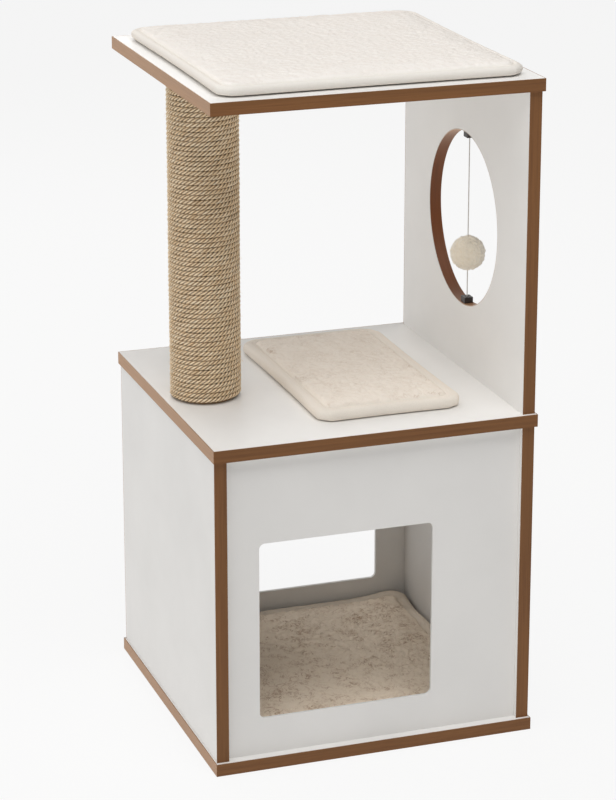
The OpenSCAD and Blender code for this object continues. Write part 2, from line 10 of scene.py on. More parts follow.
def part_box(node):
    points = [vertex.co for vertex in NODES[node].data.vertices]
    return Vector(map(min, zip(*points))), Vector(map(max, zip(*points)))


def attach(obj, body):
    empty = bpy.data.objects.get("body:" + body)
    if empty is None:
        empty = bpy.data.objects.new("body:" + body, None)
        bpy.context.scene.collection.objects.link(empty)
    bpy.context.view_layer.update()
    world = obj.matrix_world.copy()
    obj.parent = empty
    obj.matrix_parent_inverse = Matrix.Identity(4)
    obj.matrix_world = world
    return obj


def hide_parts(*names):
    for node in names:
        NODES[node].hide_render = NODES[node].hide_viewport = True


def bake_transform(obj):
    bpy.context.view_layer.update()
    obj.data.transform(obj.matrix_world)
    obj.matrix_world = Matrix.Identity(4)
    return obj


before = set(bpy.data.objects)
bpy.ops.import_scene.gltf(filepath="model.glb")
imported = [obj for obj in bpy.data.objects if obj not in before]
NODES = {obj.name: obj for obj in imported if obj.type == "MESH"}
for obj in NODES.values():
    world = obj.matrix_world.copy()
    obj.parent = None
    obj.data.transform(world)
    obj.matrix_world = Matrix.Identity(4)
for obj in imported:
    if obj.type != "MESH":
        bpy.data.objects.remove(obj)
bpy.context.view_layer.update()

bl_info = {
    "name": "Cat condo dressing",
    "version": (1, 0, 0),
    "blender": (4, 5, 0),
    "location": "View3D > Sidebar > Cat condo",
    "description": "Finishes, wound post, cushions, hanging toy and stage of a cat condo",
    "category": "Object",
}

CARRIERS = {"top": "top_board", "mid": "mid_board", "cave": "base_board"}
# Border width, shares of parted pile (its gaps darkened as painted shade) in the middle and at the
# border, tuft height, share of painted shade tint toward the shaded plush colour, and fullness behind.
PILE = {
    "top": (0.011, 0.0, 0.2, 0.8, 0.0, 0.0),
    "mid": (0.017, 0.26, 0.8, 1.3, 0.4, 0.010),
    "cave": (0.019, 1.0, 0.2, 1.8, 1.0, 0.0),
}
SATIN = {
    "roughness": 0.36, "Specular_IOR_Level": 0.22, "Sheen_Weight": 0.95, "Sheen_Roughness": 0.4,
    "Sheen_Tint": (1, 0.66, 0.42, 1),
}
# Strands of a rope or cord, mesh points on each, depths of their grooves and the thin cord's lay.
STRANDS = 3
STRAND_POINTS = 4
ROPE_GROOVE = 0.42
CORD_GROOVE = 0.26
CORD_LAY = 0.0045
LINING_RADIUS = 0.108
CLOTH_FRAMES = 20


def srgb(red, green, blue):
    """Linear colour of a display colour given from 0 to 255."""
    parts = [value / 255 for value in (red, green, blue)]
    return tuple(p / 12.92 if p <= 0.04045 else ((p + 0.055) / 1.055) ** 2.4 for p in parts)


def number_setting(name, description, default, **more):
    """A number for the sidebar."""
    return FloatProperty(name=name, description=description, default=default, **more)


def length_setting(name, description, default):
    """A length in metres for the sidebar."""
    return number_setting(name, description, default, unit="LENGTH", precision=4)


def colour_setting(name, description, *shown):
    """A colour for the sidebar, given as a display colour."""
    return FloatVectorProperty(
        name=name, description=description, default=srgb(*shown), subtype="COLOR", size=3, min=0, max=1
    )


class CONDO_PG_boards(bpy.types.PropertyGroup):
    """Finishes of the boards, panels and hardware."""

    laminate: colour_setting("Laminate", "Colour of the white boards", 243, 241, 238)
    edging: colour_setting("Edging", "Mean colour of the brown edge bands", 124, 83, 47)
    edging_dark: colour_setting("Edging grain", "Colour of the dark grain lines", 94, 57, 31)
    band_start: length_setting("Band start", "How far out the boards' side bands begin", 0.19885)
    lining: colour_setting("Lining", "Colour of the band in the porthole", 116, 66, 36)


class CONDO_PG_rope(bpy.types.PropertyGroup):
    """Sizes and colours of the rope on the post."""

    thickness: length_setting("Thickness", "Diameter of the rope", 0.0060)
    turns: IntProperty(name="Turns", description="Turns of rope on the post", default=66, min=4)
    lay: length_setting("Lay", "Length in which a strand goes once round the rope", 0.01607)
    ring_step: length_setting("Ring step", "Distance between the rings of the mesh", 0.0011)
    fibres: IntProperty(name="Fibres", description="Loose fibres on the rope", default=520, min=0)
    straw: colour_setting("Straw", "Mean colour of the fibres", 255, 216, 162)
    pale: colour_setting("Pale straw", "Colour of the bleached fibres", 255, 247, 226)
    # The dark straw colour is painted shade in the grooves between the strands, and the colour of the dark
    # streaks.
    dark: colour_setting("Dark straw", "Colour in the grooves", 124, 88, 52)


class CONDO_PG_cushions(bpy.types.PropertyGroup):
    """Sizes and colours of the three cushions."""

    corner: length_setting("Corner", "Radius of the corners seen from above", 0.026)
    seam: length_setting("Seam", "Depth of the sewn line inside the border", 0.0022)
    draw: length_setting("Draw", "How far the sides pull in between the corners", 0.0025)
    pile: length_setting("Pile", "Height of the plush tufts", 0.0026)
    tuft: length_setting("Tuft", "Width of one tuft of the plush", 0.0055)
    voxel: length_setting("Voxel", "Size of the cells that the filling is blown up in", 0.006)
    pressure: number_setting("Pressure", "Pressure of the filling", 4.0, min=0)
    plush: colour_setting("Plush", "Colour of the plush", 252, 247, 241)
    shaded: colour_setting("Shaded plush", "Colour of plush in the shade", 255, 238, 216)
    cloth: colour_setting("Border cloth", "Colour of the smooth border", 243, 238, 230)


class CONDO_PG_toy(bpy.types.PropertyGroup):
    """Sizes and colours of the hanging toy."""

    curl: length_setting("Curl", "Width of one curl on the ball", 0.0048)
    curl_height: length_setting("Curl height", "Height of the curls on the ball", 0.0022)
    cord_thickness: length_setting("Cord", "Diameter of the cord", 0.0015)
    wool: colour_setting("Wool", "Colour of the ball", 255, 244, 224)
    cord: colour_setting("Cord colour", "Colour of the cord", 226, 221, 213)
    anchor: colour_setting("Anchor", "Colour of the moulded anchors", 44, 36, 32)


class CONDO_PG_stage(bpy.types.PropertyGroup):
    """Camera, light and floor."""

    camera_place: FloatVectorProperty(
        name="Camera", description="Place of the camera", default=(-1.103, -3.102, 1.482),
        subtype="TRANSLATION", unit="LENGTH", size=3,
    )
    camera_turn: number_setting(
        "Azimuth", "Turn of the camera about the object", math.radians(-19.30), subtype="ANGLE"
    )
    camera_rise: number_setting(
        "Elevation", "Angle of the camera above the horizon", math.radians(16.88), subtype="ANGLE"
    )
    lens: number_setting("Lens", "Focal length in millimetres", 128.0, min=1)
    shift: number_setting("Shift", "Upward shift of the lens", -0.10)
    ambient: number_setting("Ambient", "Strength of the light from the left", 0.91)
    ambient_end: number_setting("Ambient end", "How far right the light from all round ends", 0.4)
    key: number_setting("Key light", "Power of the light overhead", 49, min=0)
    back: number_setting("Back light", "Power of the light behind", 19, min=0)
    paper: colour_setting("Paper", "Colour of the floor and the background", 249, 249, 249)
    bounce: colour_setting("Bounce", "Colour of the light that the floor throws back", 246, 245, 243)


def times(colour, share):
    """A colour made darker or lighter by one factor."""
    return tuple(part * share for part in colour)


def only_none():
    """Leave nothing selected, so that an operator reaches only what it adds."""
    bpy.ops.object.select_all(action="DESELECT")


def only(obj):
    """Select one object and make it active."""
    only_none()
    obj.select_set(True)
    bpy.context.view_layer.objects.active = obj


def go_to(mode):
    """Enter or leave the active mesh."""
    bpy.ops.object.mode_set(mode=mode)


def new_object(name, data):
    """An object in the scene for a mesh, lamp or camera."""
    obj = bpy.data.objects.new(name, data)
    bpy.context.scene.collection.objects.link(obj)
    return obj


def mesh_object(name, places, faces):
    """A new mesh on an object of its own."""
    mesh = bpy.data.meshes.new(name)
    mesh.from_pydata(places, [], faces)
    mesh.update()
    return new_object(name, mesh)


def half_of(low, high):
    """Half the width and half the depth of a box."""
    return (high.x - low.x) / 2, (high.y - low.y) / 2


def points_of(obj, kind="co"):
    """The places of a mesh's vertices, or their normals, as an array."""
    flat = np.empty(len(obj.data.vertices) * 3)
    obj.data.vertices.foreach_get(kind, flat)
    return flat.reshape(-1, 3)


def move_points(obj, places):
    """Put a mesh's vertices at these places."""
    obj.data.vertices.foreach_set("co", np.ascontiguousarray(places, dtype=np.float32).ravel())
    obj.data.update()


def add_values(obj, name, values):
    """Keep a number or a vector for each vertex, for the material to read."""
    values = np.ascontiguousarray(values, dtype=np.float32)
    kind, key = ("FLOAT", "value") if values.ndim == 1 else ("FLOAT_VECTOR", "vector")
    obj.data.attributes.new(name, kind, "POINT").data.foreach_set(key, values.ravel())


class Nodes:
    """Nodes being put together in a tree."""

    def __init__(self, tree):
        self.tree = tree

    def node(self, kind, settings=None, **inputs):
        """Add a node, with its settings, and its inputs set or linked."""
        made = self.tree.nodes.new("ShaderNode" + kind)
        for key, value in (settings or {}).items():
            setattr(made, key, value)
        for key, value in inputs.items():
            name = key.replace("_", " ")
            socket = made.inputs[int(name[3:])] if name.startswith("In ") else made.inputs[name]
            self.put(socket, value)
        return made

    def put(self, socket, value):
        """Link an output to a socket, or set the socket."""
        if isinstance(value, bpy.types.NodeSocket):
            self.tree.links.new(value, socket)
        elif hasattr(value, "__len__") and len(value) == 3 and socket.type == "RGBA":
            socket.default_value = (*value, 1)
        else:
            socket.default_value = value

    def span(self, value, low, high, to_low=0.0, to_high=1.0):
        """A value mapped from one range to another and held there."""
        made = self.node(
            "MapRange", Value=value, From_Min=low, From_Max=high, To_Min=to_low, To_Max=to_high
        )
        return made.outputs["Result"]


class Finish(Nodes):
    """A node material being put together."""

    def __init__(self, name, roughness=0.5, **sockets):
        self.material = bpy.data.materials.new(name)
        self.material.use_nodes = True
        super().__init__(self.material.node_tree)
        self.shader = self.tree.nodes["Principled BSDF"]
        self.shader.inputs["Roughness"].default_value = roughness
        for key, value in sockets.items():
            self.shader.inputs[key.replace("_", " ")].default_value = value

    def place(self):
        """Object coordinates."""
        return self.node("TexCoord").outputs["Object"]

    def axes(self):
        """Object coordinates, one by one."""
        return self.node("SeparateXYZ", Vector=self.place()).outputs

    def joined(self, along, across, third):
        """Coordinates from three numbers."""
        return self.node("CombineXYZ", X=along, Y=across, Z=third).outputs["Vector"]

    def stretched(self, scale, vector=None):
        """Coordinates scaled along each axis."""
        return self.node("Mapping", Vector=vector or self.place(), Scale=scale).outputs["Vector"]

    def noise(self, scale, detail=3.0, vector=None, roughness=0.5):
        """Noise from 0 to 1."""
        vector = vector or self.place()
        made = self.node("TexNoise", Vector=vector, Scale=scale, Detail=detail, Roughness=roughness)
        return made.outputs["Fac"]

    def cells(self, scale, vector=None):
        """Distance to the nearest of scattered points."""
        return self.node("TexVoronoi", Vector=vector or self.place(), Scale=scale).outputs["Distance"]

    def maths(self, operation, first, second=0.0):
        """One sum of two numbers."""
        return self.node("Math", {"operation": operation}, In_0=first, In_1=second).outputs["Value"]

    def blend(self, factor, first, second, mode="MIX"):
        """Two colours mixed by a factor."""
        kind = {"data_type": "RGBA", "blend_type": mode}
        return self.node("Mix", kind, In_0=factor, In_6=first, In_7=second).outputs[2]

    def tinted(self, colour, tint):
        """A colour multiplied by another."""
        return self.blend(1.0, colour, tint, "MULTIPLY")

    def value_of(self, name):
        """A number that the mesh keeps for each vertex."""
        return self.node("Attribute", {"attribute_name": name}).outputs["Fac"]

    def colour(self, value):
        """Set the base colour."""
        self.put(self.shader.inputs["Base Color"], value)

    def rough(self, value):
        """Set the roughness."""
        self.put(self.shader.inputs["Roughness"], value)

    def relief(self, height, distance, strength=1.0):
        """Raise the surface a little by a height from 0 to 1."""
        below = self.shader.inputs["Normal"].links
        made = self.node("Bump", Height=height, Distance=distance, Strength=strength)
        if below:
            self.put(made.inputs["Normal"], below[0].from_socket)
        self.put(self.shader.inputs["Normal"], made.outputs["Normal"])


def wear(material, *names):
    """Give CAD nodes a finish."""
    for name in names:
        mesh = NODES[name].data
        mesh.materials.clear()
        mesh.materials.append(material)


def laminate_finish(colour):
    """Melamine-faced board: faint clouds and a fine pearl grain."""
    look = Finish("white_laminate", roughness=0.42, Specular_IOR_Level=0.12)
    clouds = look.noise(9, 4)
    specks = look.noise(900, 2)
    shade = times(colour, 0.955)
    warm = (colour[0] * 0.99, colour[1] * 0.975, colour[2] * 0.95)
    base = look.blend(look.span(clouds, 0.35, 0.7), colour, shade)
    look.colour(look.blend(look.span(specks, 0.56, 0.75, 0, 0.5), base, warm))
    look.rough(look.span(look.noise(60, 3), 0.3, 0.7, 0.36, 0.5))
    look.relief(look.noise(1400, 2), 0.00004, 0.35)
    return look.material


def board_edging_finish(settings):
    """Brown edge band whose grain runs along each side of a board."""
    look = Finish("brown_edging_boards", **SATIN)
    place = look.axes()
    side = look.maths("GREATER_THAN", look.maths("ABSOLUTE", place["X"]), settings.band_start)
    front = look.maths("SUBTRACT", 1.0, side)
    along = look.maths(
        "ADD",
        look.maths("MULTIPLY", place["Y"], side),
        look.maths("MULTIPLY", place["X"], front),
    )
    dress_edging(look, look.joined(along, place["Z"], side), settings)
    return look.material


def panel_edging_finish(settings):
    """Brown edge band whose grain runs up the panel."""
    look = Finish("brown_edging_panels", **SATIN)
    place = look.axes()
    dress_edging(look, look.joined(place["Z"], place["X"], place["Y"]), settings)
    return look.material


def lining_finish(settings, low, high):
    """Brown band bent into the porthole: its grain goes round the hole, its cut edges are pale."""
    centre = (low + high) / 2
    look = Finish("porthole_lining", **SATIN)
    place = look.axes()
    height = look.maths("SUBTRACT", place["Z"], centre.z)
    turn = look.maths("ARCTAN2", height, look.maths("SUBTRACT", place["Y"], centre.y))
    along = look.maths("MULTIPLY", turn, LINING_RADIUS)
    laid = look.joined(along, place["X"], 0.3)
    brown = dress_edging(look, laid, settings, settings.lining)
    off = look.maths("ABSOLUTE", look.maths("SUBTRACT", place["X"], centre.x))
    cut = look.maths("GREATER_THAN", off, (high.x - low.x) / 2 - 0.0002)
    look.colour(look.blend(cut, brown, srgb(206, 200, 194)))
    return look.material


def dress_edging(look, laid, settings, colour=None):
    """Gloss, grain lines and colour of brown edging, from coordinates that run along it."""
    colour = tuple(colour or settings.edging)
    pale = tuple(min(1.0, part * 1.16) for part in colour)
    broad = look.noise(1.0, 4, look.stretched((7, 330, 3), laid), 0.6)
    narrow = look.noise(1.0, 3, look.stretched((22, 1500, 5), laid), 0.7)
    lines = look.maths("MULTIPLY", look.span(broad, 0.38, 0.68), look.span(narrow, 0.35, 0.62))
    clouds = look.noise(1, 2, look.stretched((3, 90, 2), laid))
    base = look.blend(look.span(clouds, 0.35, 0.65), colour, pale)
    brown = look.blend(look.maths("MULTIPLY", lines, 0.75), base, settings.edging_dark)
    look.colour(brown)
    look.rough(look.span(narrow, 0.3, 0.7, 0.3, 0.44))
    look.relief(narrow, 0.00005, 0.4)
    return brown


def metal_finish(name, colour, roughness, streak):
    """Plated or turned metal with fine streaks."""
    look = Finish(name, roughness=roughness, Metallic=1.0)
    lines = look.noise(1, 3, look.stretched(streak))
    look.colour(look.blend(look.span(lines, 0.3, 0.7), colour, times(colour, 0.78)))
    look.rough(look.span(lines, 0.3, 0.7, roughness * 0.8, roughness * 1.3))
    look.relief(lines, 0.00003, 0.4)
    return look.material


def wood_finish(name, pale, dark, stretch):
    """Plain beech or board with its grain along one axis."""
    look = Finish(name, roughness=0.62)
    lines = look.noise(1, 4, look.stretched(stretch), 0.6)
    flecks = look.span(look.noise(1, 2, look.stretched(times(stretch, 3))), 0.55, 0.75)
    base = look.blend(look.span(lines, 0.35, 0.65), pale, dark)
    look.colour(look.blend(look.maths("MULTIPLY", flecks, 0.4), base, times(dark, 0.7)))
    look.relief(lines, 0.0001, 0.5)
    return look.material


def tape_finish(name, colour, scale):
    """Hook and loop tape: rows of small hooks on a woven strip."""
    look = Finish(name, roughness=0.85, Sheen_Weight=0.2)
    rows = look.cells(scale, look.stretched((1, 1, 0.2)))
    look.colour(look.blend(look.span(rows, 0.1, 0.6), colour, times(colour, 0.72)))
    look.relief(look.span(rows, 0.0, 0.6, 1, 0), 0.0005, 0.9)
    return look.material


def plastic_finish(name, colour):
    """Moulded plastic with a fine grain."""
    look = Finish(name, roughness=0.42)
    look.colour(look.blend(look.span(look.noise(140, 3), 0.35, 0.7), colour, times(colour, 1.5)))
    look.rough(look.span(look.noise(420, 2), 0.3, 0.7, 0.36, 0.52))
    look.relief(look.cells(1600), 0.00006, 0.5)
    return look.material


class CONDO_OT_boards(bpy.types.Operator):
    """Finish the boards, panels, edge bands and porthole lining."""

    bl_idname = "condo.boards"
    bl_label = "Boards and edging"

    def execute(self, context):
        settings = context.scene.condo_boards
        wear(
            laminate_finish(settings.laminate), "base_board", "left_panel", "right_panel",
            "front_panel", "back_panel", "mid_board", "upper_panel", "top_board",
        )
        wear(board_edging_finish(settings), "base_edging", "mid_edging", "top_edging")
        wear(
            panel_edging_finish(settings), "left_panel_edging", "right_panel_edging", "upper_panel_edging"
        )
        wear(lining_finish(settings, *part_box("porthole_lining")), "porthole_lining")
        return {"FINISHED"}


class CONDO_OT_hardware(bpy.types.Operator):
    """Finish the screws, dowels, cam fittings, post core and tape pads."""

    bl_idname = "condo.hardware"
    bl_label = "Fixings and post core"

    def execute(self, context):
        steel = metal_finish("steel", srgb(176, 178, 180), 0.3, (300, 300, 2500))
        zinc = metal_finish("zinc", srgb(168, 170, 172), 0.42, (500, 500, 500))
        wear(steel, "base_screws", "upper_panel_screws", "post_bolts", "post_washers", "cam_bolts")
        wear(zinc, "cam_locks", "post_inserts")
        beech = wood_finish("beech", srgb(214, 178, 132), srgb(186, 146, 100), (180, 180, 25))
        card = wood_finish("cardboard", srgb(170, 136, 98), srgb(146, 114, 80), (60, 60, 500))
        wear(beech, "wood_dowels", "post_plugs")
        wear(card, "post_tube")
        hooks = tape_finish("hook_tape", srgb(232, 230, 226), 700)
        loops = tape_finish("loop_tape", srgb(236, 232, 224), 1100)
        for name in PILE:
            wear(hooks, name + "_hook_pads")
            wear(loops, name + "_loop_pads")
        return {"FINISHED"}


def sweep(name, path, side, section, laid):
    """A tube along a path: one ring of section points for each path point, its ends closed by fans."""
    count, around = section.shape[:2]
    tangent = np.gradient(path, axis=0)
    tangent /= np.linalg.norm(tangent, axis=1)[:, None]
    side = side - tangent * np.sum(side * tangent, axis=1)[:, None]
    side /= np.linalg.norm(side, axis=1)[:, None]
    lift = np.cross(side, tangent)
    rings = path[:, None] + section[..., :1] * side[:, None] + section[..., 1:] * lift[:, None]
    places = np.vstack([rings.reshape(-1, 3), path[:1], path[-1:]])
    here = np.arange(around)
    nxt = np.roll(here, -1)
    quads = np.stack([here, nxt, nxt + around, here + around], axis=1)
    faces = (np.arange(count - 1)[:, None, None] * around + quads).reshape(-1, 4).tolist()
    first = count * around
    faces += [(int(b), int(a), first) for a, b in zip(here, nxt)]
    last = (count - 1) * around
    faces += [(last + int(a), last + int(b), first + 1) for a, b in zip(here, nxt)]
    obj = mesh_object(name, places.tolist(), faces)
    obj.data.shade_smooth()
    ends = np.zeros((2, 3))
    ends[:, 0] = laid[0, 0, 0], laid[-1, 0, 0]
    add_values(obj, "laid", np.vstack([laid.reshape(-1, 3), ends]))
    only(obj)
    go_to("EDIT")
    bpy.ops.mesh.select_all(action="SELECT")
    bpy.ops.mesh.normals_make_consistent(inside=False)
    go_to("OBJECT")
    return obj


def wander(run, period, seed):
    """A smooth irregular line from -1 to 1 along a run, the same every time."""
    total = np.zeros_like(run)
    for step, share in ((1.0, 0.5), (1.73, 0.3), (2.91, 0.2)):
        total += share * np.sin(run * step * 2 * math.pi / period + seed * (1 + step) * 2.399)
    return total


def stranded(run, thickness, lay, seed, deep):
    """Section rings of a laid rope or cord, and the same points in the rope's own unwound frame."""
    count = STRANDS * STRAND_POINTS
    around = np.arange(count) * 2 * math.pi / count
    lobe = np.cos(around * STRANDS) * 0.5 + 0.5
    crest = 1 - deep * (1 - lobe) ** 1.4
    wide = 1 + 0.045 * wander(run, lay * 2.3, seed)
    twist = run * 2 * math.pi / lay + 0.35 * wander(run, lay * 5.1, seed + 1)
    twist = twist + 0.9 * wander(run, lay * 61, seed + 2)
    ends = np.minimum(run - run[0], run[-1] - run)
    taper = np.sqrt(1 - (1 - np.clip(ends / (thickness * 0.25), 0.02, 1)) ** 2)
    radius = (thickness / 2 * wide * taper)[:, None] * crest
    angle = around[None] + twist[:, None]
    section = np.stack([radius * np.cos(angle), radius * np.sin(angle)], axis=-1)
    flat = np.broadcast_to(around, angle.shape)
    laid = np.stack(
        [np.broadcast_to(run[:, None], angle.shape), radius * np.cos(flat), radius * np.sin(flat)], axis=-1
    )
    return section, laid


def laid_finish(name, thickness, dark, mean, pale, streak, fuzz, sheen):
    """Laid fibres: bleached and dark streaks along the strands, and painted shade in the grooves."""
    look = Finish(name, roughness=0.78, Sheen_Weight=sheen, Sheen_Roughness=0.45)
    laid = look.node("Attribute", {"attribute_name": "laid"}).outputs["Vector"]
    streaks = look.noise(1, 3, look.stretched((1 / streak, 1 / fuzz, 1 / fuzz), laid), 0.6)
    patches = look.noise(1, 2, look.stretched((1 / (streak * 5), 90, 90), laid))
    across = look.node("VectorMath", {"operation": "MULTIPLY"}, In_0=laid, In_1=(0, 1, 1)).outputs["Vector"]
    radius = look.node("VectorMath", {"operation": "LENGTH"}, In_0=across).outputs["Value"]
    crest = look.span(radius, thickness * 0.33, thickness * 0.5)
    fibre = look.blend(look.span(streaks, 0.36, 0.64), mean, pale)
    fibre = look.blend(look.span(patches, 0.42, 0.70, 0, 0.45), fibre, times(mean, 0.72))
    fibre = look.blend(look.span(streaks, 0.30, 0.40, 0.7, 0), fibre, dark)
    # The grooves between the strands are darkened toward the dark colour as painted shade.
    look.colour(look.blend(look.span(crest, 0.0, 0.5, 0.85, 0), fibre, dark))
    look.relief(streaks, thickness * 0.06, 0.8)
    return look.material


class CONDO_OT_rope(bpy.types.Operator):
    """Wind the rope on the post in two lengths that meet at its back."""

    bl_idname = "condo.rope"
    bl_label = "Post rope"

    def execute(self, context):
        settings = context.scene.condo_rope
        low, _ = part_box("post_rope_lower")
        _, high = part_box("post_rope_upper")
        middle = (low + high) / 2
        half = settings.thickness / 2
        reach = (high.x - low.x) / 2
        radius = reach - half
        foot = low.z + half * 1.05
        rise = (high.z - half * 1.05 - foot) / settings.turns
        look = laid_finish(
            "sisal", settings.thickness, settings.dark, settings.straw, settings.pale,
            0.009, 0.00042, 0.03,
        )
        join = settings.thickness * 0.1 / radius / (2 * math.pi)
        half_way = settings.turns // 2
        spans = {"lower": (0, half_way), "upper": (half_way + join, settings.turns)}
        for seed, (name, (first, last)) in enumerate(spans.items()):
            length = (last - first) * 2 * math.pi * radius
            run = np.linspace(0, length, int(length / settings.ring_step))
            turn = first + run / length * (last - first)
            angle = math.pi / 2 + turn * 2 * math.pi
            away = radius + 0.00022 * wander(run, 0.083, seed) - 0.0001
            height = foot + turn * rise + 0.00025 * wander(run, 0.119, seed + 3)
            out = np.stack([np.cos(angle), np.sin(angle), np.zeros_like(angle)], axis=1)
            path = out * away[:, None] + np.array([middle.x, middle.y, 0])
            path[:, 2] = height
            section, laid = stranded(run, settings.thickness, settings.lay, seed, ROPE_GROOVE)
            obj = sweep("sisal_rope_" + name, path, out, section, laid)
            obj.data.materials.append(look)
            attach(obj, "carcass")
            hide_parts("post_rope_" + name)
        self.loose_fibres(settings, middle, reach, foot, high.z - half, look)
        return {"FINISHED"}

    def loose_fibres(self, settings, middle, reach, foot, top, look):
        """Short hairs that stand off the wound rope."""
        pick = np.random.default_rng(17)
        sides = [(row + one, row + (one + 1) % 3) for row in (0, 3, 6) for one in range(3)]
        hair = [(one, two, two + 3, one + 3) for one, two in sides] + [(9, 10, 11), (2, 1, 0)]
        places = []
        faces = []
        for _ in range(settings.fibres):
            angle = pick.uniform(0, 2 * math.pi)
            base = np.array([math.cos(angle), math.sin(angle), 0])
            start = base * (reach - 0.0009)
            start = start + np.array([middle.x, middle.y, pick.uniform(foot, top)])
            along = np.cross([0, 0, 1], base) * pick.choice([-1, 1]) * pick.uniform(0.3, 1)
            bend = along + base * pick.uniform(0.1, 0.55) + np.array([0, 0, pick.uniform(-0.6, 0.7)])
            length = pick.uniform(0.003, 0.0095)
            thick = pick.uniform(0.00009, 0.00016)
            for step in range(4):
                part = step / 3
                spot = start + bend * length * part + base * length * 0.25 * part * (1 - part)
                spot[2] -= length * 0.15 * part * part
                for corner in range(3):
                    turn = corner * 2 * math.pi / 3
                    ring = base * math.cos(turn) + np.array([0, 0, math.sin(turn)])
                    places.append(spot + ring * thick * (1 - 0.7 * part))
            first = len(places) - 12
            faces += [tuple(first + corner for corner in face) for face in hair]
        obj = mesh_object("sisal_fibres", [tuple(place) for place in places], faces)
        laid = np.tile([0.0, settings.thickness * 0.5, 0.0], (len(places), 1))
        laid[:, 0] = np.arange(len(places)) // 12 * 0.013
        add_values(obj, "laid", laid)
        obj.data.materials.append(look)
        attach(obj, "carcass")


def parting(look, scale, patches, width):
    """Short crooked lines where the pile parts, in patches: a factor from 0 to 1."""
    curls = look.node("TexNoise", Vector=look.place(), Scale=scale, Detail=2.5, Distortion=1.1)
    off = look.maths("ABSOLUTE", look.maths("SUBTRACT", curls.outputs["Fac"], 0.5))
    valley = look.span(off, 0.006, width, 1, 0)
    return look.maths("MULTIPLY", valley, look.span(look.noise(patches, 2), 0.47, 0.62))


def plush_finish(settings):
    """Short plush with clumped tips inside a smooth sewn border, with painted shade in troughs and gaps."""
    look = Finish(
        "plush", roughness=0.9, Sheen_Weight=0.5, Sheen_Roughness=0.4, Sheen_Tint=(1, 0.84, 0.70, 1)
    )
    # warm is each cushion's share of painted shade: the plush is tinted toward the shaded plush colour.
    warm = look.value_of("warm")
    field = look.value_of("field")
    tip = look.value_of("tip")
    plush = look.blend(warm, settings.plush, settings.shaded)
    # deep is painted shade: the plush darkened in the troughs between tufts, by the tufts' height (tip); it
    # also serves the random mottling.
    deep = look.tinted(plush, (0.76, 0.66, 0.57))
    fibres = look.noise(780, 3, None, 0.6)
    gaps = look.maths(
        "MULTIPLY",
        look.maths("MAXIMUM", parting(look, 82, 36, 0.042), parting(look, 130, 52, 0.04)),
        look.value_of("parted"),
    )
    tufts = look.blend(look.span(tip, 0.08, 0.36), deep, plush)
    tufts = look.blend(look.span(look.noise(38, 3), 0.35, 0.7, 0, 0.08), tufts, deep)
    # The lines where the pile parts are darkened further as painted shade in those gaps.
    painted_gap_shade = look.tinted(deep, (0.74, 0.65, 0.56))
    tufts = look.blend(look.maths("MULTIPLY", gaps, 0.86), tufts, painted_gap_shade)
    duller = look.tinted(plush, (0.8, 0.8, 0.8))
    tufts = look.blend(look.span(fibres, 0.34, 0.46, 0.28, 0), tufts, duller)
    weave = look.noise(1500, 2)
    # The border cloth takes the same painted shade tint toward the shaded plush colour.
    cloth = look.blend(
        look.maths("MULTIPLY", warm, 0.75), settings.cloth, settings.shaded
    )
    smooth = look.blend(look.span(weave, 0.35, 0.65, 0, 0.07), cloth, (0, 0, 0))
    look.colour(look.blend(field, smooth, tufts))
    look.relief(look.maths("MULTIPLY", fibres, look.span(field, 0, 1, 0.15, 1)), 0.0007, 0.7)
    look.relief(look.maths("SUBTRACT", 1.0, gaps), 0.0012, 0.6)
    look.relief(weave, 0.0001, 0.5)
    return look.material


def inside_of(places, middle, half, corner):
    """How far each point lies inside a rectangle with rounded corners, seen from above."""
    apart = np.abs(places[:, :2] - np.array(middle[:2])) - (np.array(half) - corner)
    outer = np.linalg.norm(np.maximum(apart, 0), axis=1)
    inner = np.minimum(np.max(apart, axis=1), 0)
    return corner - outer - inner


def heights_of(places, width, seed, height_at):
    """Heights from 0 to 1 at each place, by a function of the spot and the seed's shift."""
    shift = Vector((seed * 3.7, seed * 1.9, seed * 2.3))
    return np.clip([height_at(Vector(place) / width + shift, shift) for place in places], 0, 1)


def plush_height(spot, shift):
    """Short plush: soft clumps with a few parted places."""
    spot += noise.noise_vector(spot * 0.6) * 0.5
    clump = noise.noise(spot * 0.8)
    small = noise.noise(spot * 2.3)
    broad = noise.noise(spot * 0.2)
    lines = 1 - 2 * abs(noise.noise(spot * 1.15 + shift))
    near = noise.voronoi(spot * 0.5, distance_metric="DISTANCE")[0][0]
    parted = max(0.0, 1 - near / 0.3) * max(0.0, min(1.0, 0.35 + 2.4 * noise.noise(spot * 0.13)))
    height = 0.62 + 0.2 * clump + 0.14 * small + 0.1 * broad + 0.1 * (lines - 0.6)
    return height - 0.3 * parted


def curl_height(spot, _):
    """Woolly curls."""
    warp = noise.noise_vector(spot * 0.7) * 0.55
    near = noise.voronoi(spot + warp, distance_metric="DISTANCE")[0]
    lump = 1 - min(1.0, near[0] / 0.8) ** 2
    edge = min(1.0, (near[1] - near[0]) / 0.35)
    small = noise.noise(spot * 2.6)
    return 0.55 * lump * (0.55 + 0.45 * edge) + 0.22 * small + 0.3


def leans_of(places, width):
    """Which way the tuft or curl at each place leans."""
    return np.array([noise.noise_vector(Vector(place) / width) for place in places])


